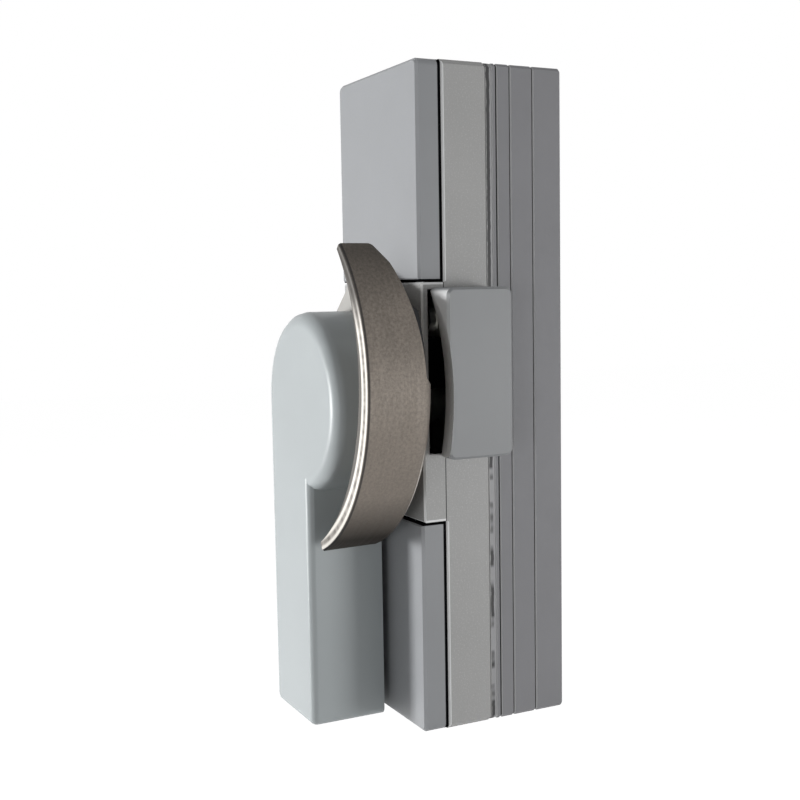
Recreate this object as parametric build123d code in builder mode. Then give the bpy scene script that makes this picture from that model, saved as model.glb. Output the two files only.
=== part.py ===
from build123d import *
import math
import os

os.makedirs("parts", exist_ok=True)

# Crescent lock for a sliding sash.
# The origin is where the spindle's axis meets the rear mounting face.
# +X points to the side with the lock slide, +Y into the sash, +Z up.
# Forward distances are counted from the mounting face towards the room.

# Body
body_height = 110.0
base_width = 30.5
base_depth = 8.3
base_wall = 2.2
base_corner = 0.8
base_edge = 0.3
tongue_height = 39.2
tongue_setback = 0.35
boss_radius = 10.0
boss_height = 1.8

# Packing plates and the base's back plate
thin_liner = 1.0
second_liner = 2.6
third_liner = 4.4
thick_liner = 5.6
liner_corner = 0.5
liner_edge = 0.25
liner_rear_edge = 0.3
plate_thickness = 1.0
plate_margin = 0.1
pip_side = 3.0
pip_height = 1.2
pip_offset_x = 9.0
pip_end_distance = 5.5
pip_clearance = 0.1
plate_screw_radius = 1.0
plate_screw_head = 1.8
plate_screw_head_height = 0.7
plate_screw_length = 4.5
plate_screw_slot = 0.45
plate_screw_inset = 2.15
plate_screw_z = 21.6
plate_screw_wall = 1.3
fit_gap = 0.03
screw_tip_gap = 0.3

# Fixing slots
slot_spacing = 74.0
slot_length = 16.0
slot_width = 5.4
slot_wall = 2.2

# Caps over the fixing screws
cover_side_gap = 0.2
cover_depth = 4.4
cover_wall = 1.3
cover_edge = 0.45
cover_corner = 1.2
cover_gap = 0.25
hook_width = 5.0
hook_thickness = 1.2
hook_nose = 0.5
hook_nose_height = 1.2
hook_inset = 1.55
hook_clearance = 0.15

# Spindle and its bearing
journal_radius = 4.5
running_clearance = 0.04
square_side = 6.2
square_clearance = 0.05
bush_radius = 6.2
bush_flange_radius = 8.4
bush_flange = 0.7
washer_radius = 7.6
washer_bore = 5.0
layer_gap = 0.1
screw_radius = 2.0
screw_head_radius = 5.0
screw_head_height = 2.2
recess_length = 5.0
recess_width = 1.0
recess_depth = 1.2

# Crescent
steel = 2.3
web_standoff = 2.9
flange_width = 11.3
arc_radius = 30.0
arc_centre = (-4.5, 3.7)
inner_arc_radius = 31.4
inner_arc_centre = (-9.1, 4.8)
root_thickness = 3.3
foot_angle = -68.5
foot_skew = 1.3
web_end_angle = 25.0
tip_angle = 47.3
tip_width = 5.4
taper_foot = (1.3, 5.0)
taper_middle = (2.3, 15.0)
taper_knee = (4.0, 22.6)
bend_radius = 2.0
rim_edge = 0.3
tip_corner = 0.8
hub_disc_radius = 14.6
shoulder_radius = 15.4
shoulder_angle = 130.0
shoulder_length = 15.0
web_foot_x = 4.4
web_foot_margin = 1.0

# Handle
handle_standout = 15.2
hub_radius = 15.0
hub_edge = 2.4
bar_right = 2.96
bar_end = 55.2
bar_standoff = 1.7
bar_edge = 1.25
bar_end_edge = 1.2
web_pocket_gap = 0.6
socket_depth = 4.0
screw_wall = 1.5
peg_radius = 1.5
peg_height = 1.6
peg_offset = 9.0
peg_clearance = 0.1
core_wall = 2.2
core_rib = 1.8
core_depth = 8.0
core_columns = 2
core_rows = 3

# Cam, stop and click spring
cam_radius = 6.5
cam_flat = 5.2
cam_thickness = 4.0
stop_thickness = 1.2
stop_disc_radius = 6.0
lug_width = 3.0
lug_reach = 12.4
stop_post_radius = 1.5
stop_post_z = 10.6
stop_clearance = 0.25
leaf_thickness = 0.5
leaf_clearance = 0.05
leaf_half_length = 9.0
leaf_width = 3.6
leaf_post_radius = 1.6
leaf_post_gap = 0.1

# Lock slide
slide_length = 27.3
slide_centre_z = 5.05
slide_travel = 10.1
slide_protrusion = 6.4
slide_front_setback = 1.6
slide_rear_setback = 13.5
slide_side_gap = 0.15
slide_edge = 0.4
slide_corner = 1.3
scoop_radius = 57.0
scoop_inner_depth = 2.85
scoop_outer_depth = 0.9
scoop_drop = 3.5
window_front_setback = 1.4
window_rear_setback = 11.0
window_end_margin = 0.25
window_rebate = 1.0
groove_ledge = 1.0
groove_depth = 1.1
guide_thickness = 1.1
stem_clearance = 0.2
stem_reach = 7.0
lip_thickness = 1.2
lip_gap = 0.3
bar_thickness = 2.0
bar_width = 2.3
bar_flat_gap = 0.15
bar_rest_z = 4.3
bar_arm_height = 6.0
bar_top_gap = 0.7
slide_screw_radius = 1.25
slide_screw_head_radius = 2.2
slide_screw_head_height = 1.3
slide_screw_length = 3.5
slide_screw_inset = 2.15
bow_thickness = 0.3
bow_width = 2.4
bow_length = 12.0
bow_clearance = 0.1

# A rounded edge is made of this many straight steps where it runs round a curve
round_steps = 3

# Stations, counted forward from the mounting face
liner_thicknesses = (thin_liner, second_liner, third_liner, thick_liner)
plate_rear = sum(liner_thicknesses)
base_rear = plate_rear + plate_thickness
floor_front = base_rear + base_depth
floor_rear = floor_front - base_wall
cover_front = floor_front + cover_depth
tongue_front = cover_front - tongue_setback
cavity_front = tongue_front - base_wall
boss_front = tongue_front + boss_height
bush_front = boss_front + bush_flange
web_rear = cover_front + web_standoff
web_front = web_rear + steel
flange_front = web_rear + flange_width
bar_rear = cover_front + bar_standoff
handle_front = cover_front + handle_standout
cam_front = cavity_front - layer_gap
cam_rear = cam_front - cam_thickness
stop_rear = cam_rear - stop_thickness
slide_front = cover_front - slide_front_setback
slide_rear = cover_front - slide_rear_setback
window_front = cover_front - window_front_setback
window_rear = cover_front - window_rear_setback
stem_front = cam_rear + layer_gap
stem_rear = window_rear + stem_clearance

# Widths and heights that follow
half_height = body_height / 2
half_width = base_width / 2
plate_width = base_width - 2 * plate_margin
plate_height = body_height - 2 * plate_margin
pip_offset_z = half_height - pip_end_distance
tongue_half = tongue_height / 2
cavity_half_width = half_width - base_wall
cover_width = base_width - 2 * cover_side_gap
hook_offset = cavity_half_width - hook_inset
plate_screw_x = cavity_half_width - plate_screw_inset
cavity_half_height = tongue_half - base_wall
pocket_height = half_height - tongue_half - base_wall
pocket_centre_z = tongue_half + pocket_height / 2
cover_height = half_height - tongue_half - cover_gap
cover_centre_z = half_height - cover_height / 2
window_length = slide_length - 2 * window_end_margin
window_bottom = slide_centre_z - window_length / 2
stem_top = cavity_half_height - stem_clearance
stem_bottom = window_bottom + slide_travel + stem_clearance
stem_centre_z = (stem_top + stem_bottom) / 2
stem_inner_x = half_width - stem_reach
slide_screw_x = stem_inner_x + slide_screw_inset
bar_inner_x = cam_flat + bar_flat_gap
bar_arm_end_x = cavity_half_width - stem_clearance
bar_top_z = stem_top - bar_top_gap
bar_arm_z = bar_top_z - bar_arm_height / 2
lip_rear = base_rear + lip_gap
lip_centre_x = cavity_half_width - stem_clearance - lip_thickness / 2
block_inner_x = half_width + slide_side_gap
block_outer_x = half_width + slide_protrusion
rebate_inner_x = cavity_half_width - window_rebate
groove_outer_x = rebate_inner_x - groove_ledge
guide_outer_x = groove_outer_x - stem_clearance
groove_inner_x = guide_outer_x - guide_thickness - stem_clearance
guide_front = cavity_front + groove_depth - stem_clearance
guide_top = bar_top_z - bar_arm_height - stem_clearance
groove_top = guide_top + stem_clearance
groove_bottom = window_bottom
bow_rise = stem_rear - base_rear - bow_clearance
bow_radius = (bow_length**2 / 4 + bow_rise**2) / (2 * bow_rise)
bow_centre = stem_rear - bow_rise + bow_radius
bow_inner_x = (stem_inner_x + lip_centre_x - lip_thickness / 2 - bow_width) / 2

# Spindle group
square_hole = square_side + square_clearance
washer_thickness = web_rear - bush_front - 2 * layer_gap
socket_floor = web_front + socket_depth
screw_hole_front = handle_front - screw_wall
screw_head_rear = stop_rear - screw_head_height
lug_length = lug_reach - lug_width / 2
stop_post_x = lug_width / 2 + stop_clearance + stop_post_radius
leaf_outer_x = cam_flat + leaf_clearance + leaf_thickness
leaf_roll_radius = leaf_post_radius + leaf_post_gap
leaf_post_x = -leaf_outer_x - leaf_roll_radius
hook_rear = floor_rear - hook_clearance - hook_nose_height

# Crescent and handle outlines
root_radius = arc_radius - root_thickness
web_arc_radius = root_radius + steel / 4
core_left = core_wall - hub_radius
core_right = bar_right - core_wall
core_top = -hub_disc_radius - web_pocket_gap - core_wall
core_bottom = core_wall - bar_end
core_width = (core_right - core_left - (core_columns - 1) * core_rib) / core_columns
core_height = (core_top - core_bottom - (core_rows - 1) * core_rib) / core_rows


def facing(forward):
    """Plane that faces the room at a distance from the mounting face."""
    return Plane.XZ.offset(forward)


def flank(distance):
    """Plane that faces the slide's side at a distance from the spindle."""
    return Plane.YZ.offset(distance)


def slot_places():
    """Centres of the two upright fixing slots."""
    return GridLocations(0, slot_spacing, 1, 2)


def pip_places():
    """Centres of the four pips and their sockets."""
    return GridLocations(2 * pip_offset_x, 2 * pip_offset_z, 2, 2)


def plate_screw_places():
    """Centres of the two screws of the back plate."""
    return Locations((plate_screw_x, plate_screw_z), (-plate_screw_x, -plate_screw_z))


def arc_point(radius, angle):
    """Point on a circle about the centre of the crescent's curve."""
    turn = math.radians(angle)
    return (arc_centre[0] + radius * math.cos(turn), arc_centre[1] + radius * math.sin(turn))


def round_points(centre, radius, start, turn):
    """Points on an arc in equal straight steps, for a rounded edge of a section."""
    points = []
    for step in range(round_steps + 1):
        angle = math.radians(start + turn * step / round_steps)
        points.append((centre[0] + radius * math.cos(angle), centre[1] + radius * math.sin(angle)))
    return points


# Base: open at the back, with a raised block between the two caps
with BuildPart() as base:
    with BuildSketch(facing(base_rear)) as base_outline:
        Rectangle(base_width, body_height)
        chamfer(base_outline.vertices(), base_corner)
    extrude(amount=base_depth)
    chamfer(base.faces().sort_by(Axis.Y)[-1].edges(), base_edge)
    with BuildSketch(facing(floor_front)):
        Rectangle(base_width, tongue_height)
    extrude(amount=tongue_front - floor_front)
    chamfer(base.faces().sort_by(Axis.Y)[0].edges(), base_edge)
    step_edges = base.edges().filter_by(Axis.Z).filter_by_position(
        Axis.Y, -floor_front - base_edge / 2, -floor_front + base_edge / 2
    )
    chamfer(step_edges, base_edge)
    with BuildSketch(facing(tongue_front)):
        Circle(boss_radius)
    extrude(amount=boss_height)
    # Room for the cam and the slide
    with BuildSketch(facing(base_rear)):
        Rectangle(2 * cavity_half_width, 2 * cavity_half_height)
    extrude(amount=cavity_front - base_rear, mode=Mode.SUBTRACT)
    # Hollow ends that leave walls around the slots and the plate's screws
    with BuildSketch(facing(base_rear)):
        with Locations((0, pocket_centre_z), (0, -pocket_centre_z)):
            Rectangle(2 * cavity_half_width, pocket_height)
        with slot_places():
            Rectangle(slot_width + 2 * slot_wall, slot_length + 2 * slot_wall, mode=Mode.SUBTRACT)
        with plate_screw_places():
            Circle(plate_screw_radius + plate_screw_wall, mode=Mode.SUBTRACT)
    extrude(amount=floor_rear - base_rear, mode=Mode.SUBTRACT)
    with BuildSketch(facing(base_rear)):
        with slot_places():
            SlotOverall(slot_length, slot_width, rotation=90)
    extrude(amount=base_depth, mode=Mode.SUBTRACT)
    with BuildSketch(facing(base_rear)):
        with plate_screw_places():
            Circle(plate_screw_radius + fit_gap)
    extrude(amount=plate_screw_length, mode=Mode.SUBTRACT)
    # Openings in the floor for the caps' hooks
    with BuildSketch(facing(floor_rear)):
        with GridLocations(2 * hook_offset, 2 * cover_centre_z, 2, 2):
            Rectangle(hook_thickness + 2 * hook_clearance, hook_width + 2 * hook_clearance)
    extrude(amount=base_wall, mode=Mode.SUBTRACT)
    # Bearing hole
    with BuildSketch(facing(cavity_front)):
        Circle(bush_radius + fit_gap)
    extrude(amount=boss_front - cavity_front, mode=Mode.SUBTRACT)
    # Side window of the slide, let into the edge of the front wall
    with BuildSketch(flank(rebate_inner_x)):
        with Locations((-(window_front + window_rear) / 2, slide_centre_z)):
            Rectangle(window_front - window_rear, window_length)
    extrude(amount=half_width - rebate_inner_x, mode=Mode.SUBTRACT)
    # Groove behind the front wall for the slide's guide rib
    with BuildSketch(facing(cavity_front)):
        with Locations(((groove_inner_x + groove_outer_x) / 2, (groove_top + groove_bottom) / 2)):
            Rectangle(groove_outer_x - groove_inner_x, groove_top - groove_bottom)
    extrude(amount=groove_depth, mode=Mode.SUBTRACT)
    # Cast posts: two that stop the lug and two that carry the click spring
    with BuildSketch(facing(stop_rear)):
        with Locations((stop_post_x, stop_post_z), (stop_post_x, -stop_post_z)):
            Circle(stop_post_radius)
    extrude(amount=cavity_front - stop_rear)
    with BuildSketch(facing(cam_rear + layer_gap)):
        with Locations((leaf_post_x, leaf_half_length), (leaf_post_x, -leaf_half_length)):
            Circle(leaf_post_radius)
    extrude(amount=cavity_front - cam_rear - layer_gap)
base.part.label = "base"
export_step(base.part, "parts/base.step")

# Back plate: closes the base and holds the mechanism in it
with BuildPart() as back_plate:
    with BuildSketch(facing(plate_rear)) as plate_outline:
        Rectangle(plate_width, plate_height)
        chamfer(plate_outline.vertices(), base_corner)
        with slot_places():
            SlotOverall(slot_length, slot_width, rotation=90, mode=Mode.SUBTRACT)
        with pip_places():
            Rectangle(pip_side + 2 * pip_clearance, pip_side + 2 * pip_clearance, mode=Mode.SUBTRACT)
        with plate_screw_places():
            Circle(plate_screw_radius + fit_gap, mode=Mode.SUBTRACT)
    extrude(amount=plate_thickness)
    with BuildSketch(facing(plate_rear)):
        with plate_screw_places():
            Circle(plate_screw_head + fit_gap)
    extrude(amount=plate_screw_head_height, mode=Mode.SUBTRACT)
back_plate.part.label = "back_plate"
export_step(back_plate.part, "parts/back_plate.step")

# Screws of the back plate, with heads let into it
with BuildPart() as plate_screws:
    with BuildSketch(facing(plate_rear)):
        with plate_screw_places():
            Circle(plate_screw_radius)
    extrude(amount=plate_thickness + plate_screw_length - screw_tip_gap)
    with BuildSketch(facing(plate_rear)):
        with plate_screw_places():
            Circle(plate_screw_head)
    extrude(amount=plate_screw_head_height)
    with BuildSketch(facing(plate_rear)):
        with plate_screw_places():
            Rectangle(plate_screw_head, plate_screw_slot)
    extrude(amount=plate_screw_slot, mode=Mode.SUBTRACT)
plate_screws.part.label = "plate_screws"
export_step(plate_screws.part, "parts/plate_screws.step")

# Packing plates, from the thin one at the base to the thick one at the sash
liner_front = plate_rear
for number, thickness in enumerate(liner_thicknesses, start=1):
    liner_rear = liner_front - thickness
    with BuildPart() as liner:
        with BuildSketch(facing(liner_rear)) as liner_section:
            Rectangle(plate_width, plate_height)
            chamfer(liner_section.vertices(), liner_corner)
        extrude(amount=thickness)
        chamfer(liner.faces().sort_by(Axis.Y)[0].edges(), liner_edge)
        rear_edge = liner_edge
        if number == len(liner_thicknesses):
            rear_edge = liner_rear_edge
        chamfer(liner.faces().sort_by(Axis.Y)[-1].edges(), rear_edge)
        with BuildSketch(facing(liner_rear)):
            with slot_places():
                SlotOverall(slot_length, slot_width, rotation=90)
        extrude(amount=thickness, mode=Mode.SUBTRACT)
        # Sockets behind and pips in front; the thin plate has holes only
        with BuildSketch(facing(liner_rear)):
            with pip_places():
                Rectangle(pip_side + 2 * pip_clearance, pip_side + 2 * pip_clearance)
        extrude(amount=min(thickness, pip_height + pip_clearance), mode=Mode.SUBTRACT)
        if number > 1:
            pip_reach = pip_height
            if number == 2:
                pip_reach = liner_thicknesses[0] + plate_thickness - pip_clearance
            with BuildSketch(facing(liner_front)):
                with pip_places():
                    Rectangle(pip_side, pip_side)
            extrude(amount=pip_reach)
    liner.part.label = f"liner_{number}"
    export_step(liner.part, f"parts/liner_{number}.step")
    liner_front = liner_rear

# Caps over the fixing screws, each held by two hooks
for name, side in (("upper_cover", 1), ("lower_cover", -1)):
    with BuildPart() as cover:
        with BuildSketch(facing(floor_front + cover_gap)):
            with Locations((0, side * cover_centre_z)):
                Rectangle(cover_width, cover_height)
        extrude(amount=cover_depth - cover_gap)
        outer_end = cover.faces().sort_by(Axis((0, 0, 0), (0, 0, side)))[-1]
        fillet(outer_end.edges().filter_by(Axis.Y), cover_corner)
        chamfer(cover.faces().sort_by(Axis.Y)[0].edges(), cover_edge)
        with BuildSketch(facing(floor_front + cover_gap)):
            with Locations((0, side * cover_centre_z)):
                Rectangle(cover_width - 2 * cover_wall, cover_height - 2 * cover_wall)
        extrude(amount=cover_depth - cover_gap - cover_wall, mode=Mode.SUBTRACT)
        with BuildSketch(facing(hook_rear)):
            with Locations((0, side * cover_centre_z)):
                with GridLocations(2 * hook_offset, 0, 2, 1):
                    Rectangle(hook_thickness, hook_width)
        extrude(amount=cover_front - cover_wall - hook_rear)
        with BuildSketch(facing(hook_rear)):
            with Locations((0, side * cover_centre_z)):
                with GridLocations(2 * hook_offset + hook_thickness + hook_nose, 0, 2, 1):
                    Rectangle(hook_nose, hook_width)
        extrude(amount=hook_nose_height)
    cover.part.label = name
    export_step(cover.part, f"parts/{name}.step")

# Flanged bush in the base's boss
with BuildPart() as bush:
    with BuildSketch(facing(cavity_front)):
        Circle(bush_radius)
    extrude(amount=boss_front - cavity_front)
    with BuildSketch(facing(boss_front)):
        Circle(bush_flange_radius)
    extrude(amount=bush_flange)
    with BuildSketch(facing(cavity_front)):
        Circle(journal_radius + running_clearance)
    extrude(amount=bush_front - cavity_front, mode=Mode.SUBTRACT)
bush.part.label = "bush"
export_step(bush.part, "parts/bush.step")

# Wear ring between bush and crescent
with BuildPart() as wear_ring:
    with BuildSketch(facing(bush_front + layer_gap)):
        Circle(washer_radius)
        Circle(washer_bore, mode=Mode.SUBTRACT)
    extrude(amount=washer_thickness)
wear_ring.part.label = "wear_ring"
export_step(wear_ring.part, "parts/wear_ring.step")

# Spindle: round in the bush, square at both ends, drilled for the long screw
with BuildPart() as spindle:
    with BuildSketch(facing(stop_rear + layer_gap)):
        Rectangle(square_side, square_side)
    extrude(amount=socket_floor - layer_gap - stop_rear - layer_gap)
    with BuildSketch(facing(cam_front)):
        Circle(journal_radius)
    extrude(amount=web_rear - cam_front)
    with BuildSketch(facing(stop_rear)):
        Circle(screw_radius + fit_gap)
    extrude(amount=socket_floor - stop_rear, mode=Mode.SUBTRACT)
spindle.part.label = "spindle"
export_step(spindle.part, "parts/spindle.step")

# Cam with two flats
with BuildPart() as cam_plate:
    with BuildSketch(facing(cam_rear)):
        Circle(cam_radius)
        Rectangle(2 * cam_flat, 2 * cam_radius, mode=Mode.INTERSECT)
        Rectangle(square_hole, square_hole, mode=Mode.SUBTRACT)
    extrude(amount=cam_thickness)
cam_plate.part.label = "cam_plate"
export_step(cam_plate.part, "parts/cam_plate.step")

# Plate with the lug that ends the turn
with BuildPart() as stop_plate:
    with BuildSketch(facing(stop_rear)):
        Circle(stop_disc_radius)
        with Locations((0, -lug_length / 2)):
            Rectangle(lug_width, lug_length)
        with Locations((0, -lug_length)):
            Circle(lug_width / 2)
        Rectangle(square_hole, square_hole, mode=Mode.SUBTRACT)
    extrude(amount=stop_thickness)
stop_plate.part.label = "stop_plate"
export_step(stop_plate.part, "parts/stop_plate.step")

# Long screw that ties cam, spindle, crescent and handle together
with BuildPart() as centre_screw:
    with BuildSketch(facing(screw_head_rear)):
        Circle(screw_head_radius)
    extrude(amount=screw_head_height)
    with BuildSketch(facing(stop_rear)):
        Circle(screw_radius)
    extrude(amount=screw_hole_front - screw_tip_gap - stop_rear)
    with BuildSketch(facing(screw_head_rear)):
        Rectangle(recess_length, recess_width)
        Rectangle(recess_width, recess_length)
    extrude(amount=recess_depth, mode=Mode.SUBTRACT)
centre_screw.part.label = "centre_screw"
export_step(centre_screw.part, "parts/centre_screw.step")

# Click spring: a leaf beside the cam with its ends rolled round two posts
with BuildPart() as detent_spring:
    with BuildSketch(facing((cam_rear + cam_front - leaf_width) / 2)):
        with Locations((leaf_post_x, leaf_half_length), (leaf_post_x, -leaf_half_length)):
            Circle(leaf_roll_radius + leaf_thickness)
            Circle(leaf_roll_radius, mode=Mode.SUBTRACT)
        with Locations((leaf_post_x, 0)):
            Rectangle(3 * leaf_roll_radius, 2 * leaf_half_length, mode=Mode.SUBTRACT)
        with Locations((-leaf_outer_x + leaf_thickness / 2, 0)):
            Rectangle(leaf_thickness, 2 * leaf_half_length)
    extrude(amount=leaf_width)
detent_spring.part.label = "detent_spring"
export_step(detent_spring.part, "parts/detent_spring.step")

# Slide: outer block with a finger scoop, stem, rear lip and guide rib
with BuildPart() as lock_slide:
    with BuildSketch(flank(block_inner_x)):
        with Locations((-(slide_front + slide_rear) / 2, slide_centre_z)):
            RectangleRounded(slide_front - slide_rear, slide_length, slide_corner)
    extrude(amount=block_outer_x - block_inner_x)
    chamfer(lock_slide.faces().sort_by(Axis.X)[-1].edges(), slide_edge)
    # The scoop is a cylinder whose axis leans with the deepest line
    scoop_run = block_outer_x - block_inner_x
    scoop_rise = scoop_inner_depth - scoop_outer_depth
    scoop_slope = math.atan2(scoop_rise, scoop_run)
    scoop_forward = (-math.sin(scoop_slope), -math.cos(scoop_slope), 0)
    scoop_origin = (
        block_inner_x + scoop_radius * scoop_forward[0],
        -(slide_front - scoop_inner_depth) + scoop_radius * scoop_forward[1],
        slide_centre_z - scoop_drop,
    )
    scoop_along = (math.cos(scoop_slope), -math.sin(scoop_slope), 0)
    with BuildSketch(Plane(origin=scoop_origin, x_dir=scoop_forward, z_dir=scoop_along)):
        Circle(scoop_radius)
    extrude(amount=2 * scoop_run, both=True, mode=Mode.SUBTRACT)
    with BuildSketch(facing(stem_rear)):
        with Locations(((stem_inner_x + block_inner_x) / 2, stem_centre_z)):
            Rectangle(block_inner_x - stem_inner_x, stem_top - stem_bottom)
    extrude(amount=stem_front - stem_rear)
    with BuildSketch(facing(lip_rear)):
        with Locations((lip_centre_x, stem_centre_z)):
            Rectangle(lip_thickness, stem_top - stem_bottom)
    extrude(amount=stem_rear - lip_rear)
    with BuildSketch(facing(stem_front)):
        with Locations((guide_outer_x - guide_thickness / 2, (guide_top + stem_bottom) / 2)):
            Rectangle(guide_thickness, guide_top - stem_bottom)
    extrude(amount=guide_front - stem_front)
    with BuildSketch(facing(stem_front - slide_screw_length)):
        with Locations((slide_screw_x, bar_arm_z)):
            Circle(slide_screw_radius + fit_gap)
    extrude(amount=slide_screw_length, mode=Mode.SUBTRACT)
lock_slide.part.label = "lock_slide"
export_step(lock_slide.part, "parts/lock_slide.step")

# Steel bar that enters beside the cam's flat when the slide is down
with BuildPart() as lock_bar:
    with BuildSketch(facing(stem_front)):
        with Locations((bar_inner_x + bar_width / 2, (bar_top_z + bar_rest_z) / 2)):
            Rectangle(bar_width, bar_top_z - bar_rest_z)
        with Locations(((bar_inner_x + bar_arm_end_x) / 2, bar_arm_z)):
            Rectangle(bar_arm_end_x - bar_inner_x, bar_arm_height)
        with Locations((slide_screw_x, bar_arm_z)):
            Circle(slide_screw_radius + fit_gap, mode=Mode.SUBTRACT)
    extrude(amount=bar_thickness)
lock_bar.part.label = "lock_bar"
export_step(lock_bar.part, "parts/lock_bar.step")

# Screw that holds the bar on the slide's stem
with BuildPart() as slide_screw:
    with BuildSketch(facing(stem_front + bar_thickness)):
        with Locations((slide_screw_x, bar_arm_z)):
            Circle(slide_screw_head_radius)
    extrude(amount=slide_screw_head_height)
    with BuildSketch(facing(stem_front - slide_screw_length + screw_tip_gap)):
        with Locations((slide_screw_x, bar_arm_z)):
            Circle(slide_screw_radius)
    extrude(amount=slide_screw_length - screw_tip_gap + bar_thickness)
slide_screw.part.label = "slide_screw"
export_step(slide_screw.part, "parts/slide_screw.step")

# Bowed strip behind the stem that rubs on the back plate
with BuildPart() as slide_spring:
    with BuildSketch(flank(bow_inner_x)) as bow_section:
        with Locations((-bow_centre, stem_centre_z)):
            Circle(bow_radius)
            Circle(bow_radius - bow_thickness, mode=Mode.SUBTRACT)
        with Locations((-stem_rear + bow_radius, stem_centre_z)):
            Rectangle(2 * bow_radius, 2 * bow_radius, mode=Mode.INTERSECT)
    extrude(amount=bow_width)
slide_spring.part.label = "slide_spring"
export_step(slide_spring.part, "parts/slide_spring.step")

# Handle: round hub with a hanging bar, hollow behind
with BuildPart() as handle:
    hub_round = round_points((hub_radius - hub_edge, hub_edge - handle_front), hub_edge, 0, -90)
    with BuildSketch(Plane.XY):
        Polygon((0, -web_front), (hub_radius, -web_front), *hub_round, (0, -handle_front), align=None)
    revolve(axis=Axis.Y)
    hub_side = [(-x, y) for x, y in hub_round]
    bar_side = round_points((bar_right - bar_edge, bar_edge - handle_front), bar_edge, -90, 90)
    with BuildSketch(Plane.XY):
        Polygon((-hub_radius, -bar_rear), *hub_side, *bar_side, (bar_right, -bar_rear), align=None)
    extrude(amount=-bar_end)
    bar_end_edges = handle.faces().sort_by(Axis.Z)[0].edges().sort_by(Axis.Y)[:-1]
    fillet(bar_end_edges, bar_end_edge)
    # Room for the crescent's web behind the hub
    with BuildSketch(facing(bar_rear)):
        Circle(hub_disc_radius + web_pocket_gap)
    extrude(amount=web_front - bar_rear, mode=Mode.SUBTRACT)
    with BuildSketch(facing(bar_rear)):
        with Locations(((core_left + core_right) / 2, (core_top + core_bottom) / 2)):
            with GridLocations(core_width + core_rib, core_height + core_rib, core_columns, core_rows):
                Rectangle(core_width, core_height)
    extrude(amount=core_depth, mode=Mode.SUBTRACT)
    # Pegs that turn the web, and the socket of the spindle
    with BuildSketch(facing(web_front - peg_height)):
        with GridLocations(0, 2 * peg_offset, 1, 2):
            Circle(peg_radius)
    extrude(amount=peg_height)
    with BuildSketch(facing(web_front)):
        Rectangle(square_hole, square_hole)
    extrude(amount=socket_depth, mode=Mode.SUBTRACT)
    with BuildSketch(facing(web_front)):
        Circle(screw_radius + fit_gap)
    extrude(amount=screw_hole_front - web_front, mode=Mode.SUBTRACT)
handle.part.label = "handle"
export_step(handle.part, "parts/handle.step")

# Crescent: one pressing, a flat web with a curved flange that ends in a tapered tip
foot_turn = math.radians(foot_angle)
foot_plane = Plane(
    origin=(arc_centre[0], 0, arc_centre[1]),
    x_dir=(math.cos(foot_turn), 0, math.sin(foot_turn)),
    z_dir=(math.sin(foot_turn), 0, -math.cos(foot_turn)),
)
foot_side_plane = Plane(origin=foot_plane.origin, x_dir=(0, -1, 0), z_dir=foot_plane.x_dir)
tip_rear = (tip_width - flange_front, arc_point(arc_radius, tip_angle)[1])
taper_places = [(-web_rear - forward, height) for forward, height in (taper_foot, taper_middle, taper_knee)]
shoulder_turn = math.radians(shoulder_angle)
shoulder_start = (shoulder_radius * math.cos(shoulder_turn), shoulder_radius * math.sin(shoulder_turn))
shoulder_end = (
    shoulder_start[0] + shoulder_length * math.sin(shoulder_turn),
    shoulder_start[1] - shoulder_length * math.cos(shoulder_turn),
)
disc_touch = shoulder_turn + math.acos(hub_disc_radius / shoulder_radius)
disc_touch_point = (hub_disc_radius * math.cos(disc_touch), hub_disc_radius * math.sin(disc_touch))
web_foot_angle = foot_angle + math.degrees((foot_skew + web_foot_margin) / web_arc_radius)
web_foot_point = arc_point(web_arc_radius, web_foot_angle)
web_foot_slope = math.tan(math.radians(web_foot_angle))
web_foot_depth = web_foot_point[1] + (web_foot_x - web_foot_point[0]) * web_foot_slope
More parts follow.
